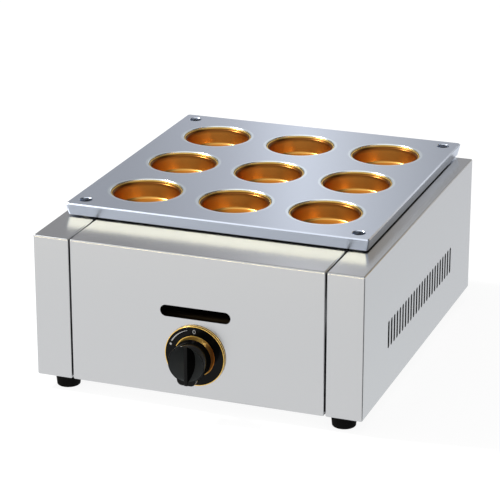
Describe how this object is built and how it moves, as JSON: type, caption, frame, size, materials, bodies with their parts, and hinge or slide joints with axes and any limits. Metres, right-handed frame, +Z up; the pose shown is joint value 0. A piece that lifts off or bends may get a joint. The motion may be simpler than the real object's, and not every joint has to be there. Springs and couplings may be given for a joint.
{
  "type": "dorayaki maker",
  "caption": "Countertop gas dorayaki maker: folded steel case, thick drilled plate with round brass moulds, push-and-turn valve knob, tube burners inside and a rear gas inlet.",
  "frame": {"origin": "on the counter under the middle of the case, which is also halfway between the knob's tip and the inlet's end", "axes": "+Z up, the front with the knob faces -Y, +X to the right as seen from the front"},
  "size_m": [0.35, 0.451, 0.1811],
  "materials": {
    "case_steel": "satin",
    "pan_steel": "satin",
    "burner_steel": "heat-stained satin",
    "plate_aluminium": "machined",
    "screw_steel": "bright",
    "valve_brass": "machined",
    "pipe_steel": "drawn",
    "bezel_brass": "polished",
    "gloss_black": "gloss",
    "foot_rubber": "matt",
    "mould_brass": "machined"
  },
  "bodies": {
    "case": {"air_mixer_left": "burner_steel", "air_mixer_middle": "burner_steel", "air_mixer_right": "burner_steel", "back_panel": "case_steel", "base_pan": "pan_steel", "base_screws": "screw_steel", "bezel_push_nuts": "screw_steel", "burner_bracket": "burner_steel", "burner_bracket_screws": "screw_steel", "burner_tube_left": "burner_steel", "burner_tube_middle": "burner_steel", "burner_tube_right": "burner_steel", "chassis_screws": "screw_steel", "dial_bezel": "bezel_brass", "dial_face": "gloss_black", "firebox": "burner_steel", "foot_bolts": "screw_steel", "foot_left_front": "foot_rubber", "foot_left_rear": "foot_rubber", "foot_nuts": "screw_steel", "foot_right_front": "foot_rubber", "foot_right_rear": "foot_rubber", "front_panel": "case_steel", "heat_shield": "burner_steel", "injector_left": "valve_brass", "injector_middle": "valve_brass", "injector_right": "valve_brass", "inlet_connector": "valve_brass", "inlet_locknut": "valve_brass", "left_side_cover": "case_steel", "manifold": "valve_brass", "mould_cup_row1_col1": "mould_brass", "mould_cup_row1_col2": "mould_brass", "mould_cup_row1_col3": "mould_brass", "mould_cup_row2_col1": "mould_brass", "mould_cup_row2_col2": "mould_brass", "mould_cup_row2_col3": "mould_brass", "mould_cup_row3_col1": "mould_brass", "mould_cup_row3_col2": "mould_brass", "mould_cup_row3_col3": "mould_brass", "mould_plate": "plate_aluminium", "pipe_nuts": "valve_brass", "plate_nuts": "screw_steel", "plate_screws": "screw_steel", "plate_spacers": "screw_steel", "right_side_cover": "case_steel", "supply_pipe": "pipe_steel", "valve_body": "valve_brass", "valve_bonnet": "valve_brass", "valve_bracket": "pan_steel", "valve_screws": "screw_steel"},
    "valve_plug": {"valve_plug": "valve_brass", "stem_spring": "screw_steel"},
    "knob": {"knob": "gloss_black", "valve_stem": "screw_steel"}
  },
  "joints": [
    {"name": "knob_turn", "type": "hinge", "parent": "case", "child": "valve_plug", "pos_m": [0, -0.1723, 0.061], "axis": [0, -1, 0], "range_deg": [0, 90]},
    {"name": "knob_push", "type": "slide", "parent": "valve_plug", "child": "knob", "axis": [0, 1, 0], "range_m": [0, 0.005], "stiffness_N_per_m": 800, "deforming": ["stem_spring"]}
  ]
}
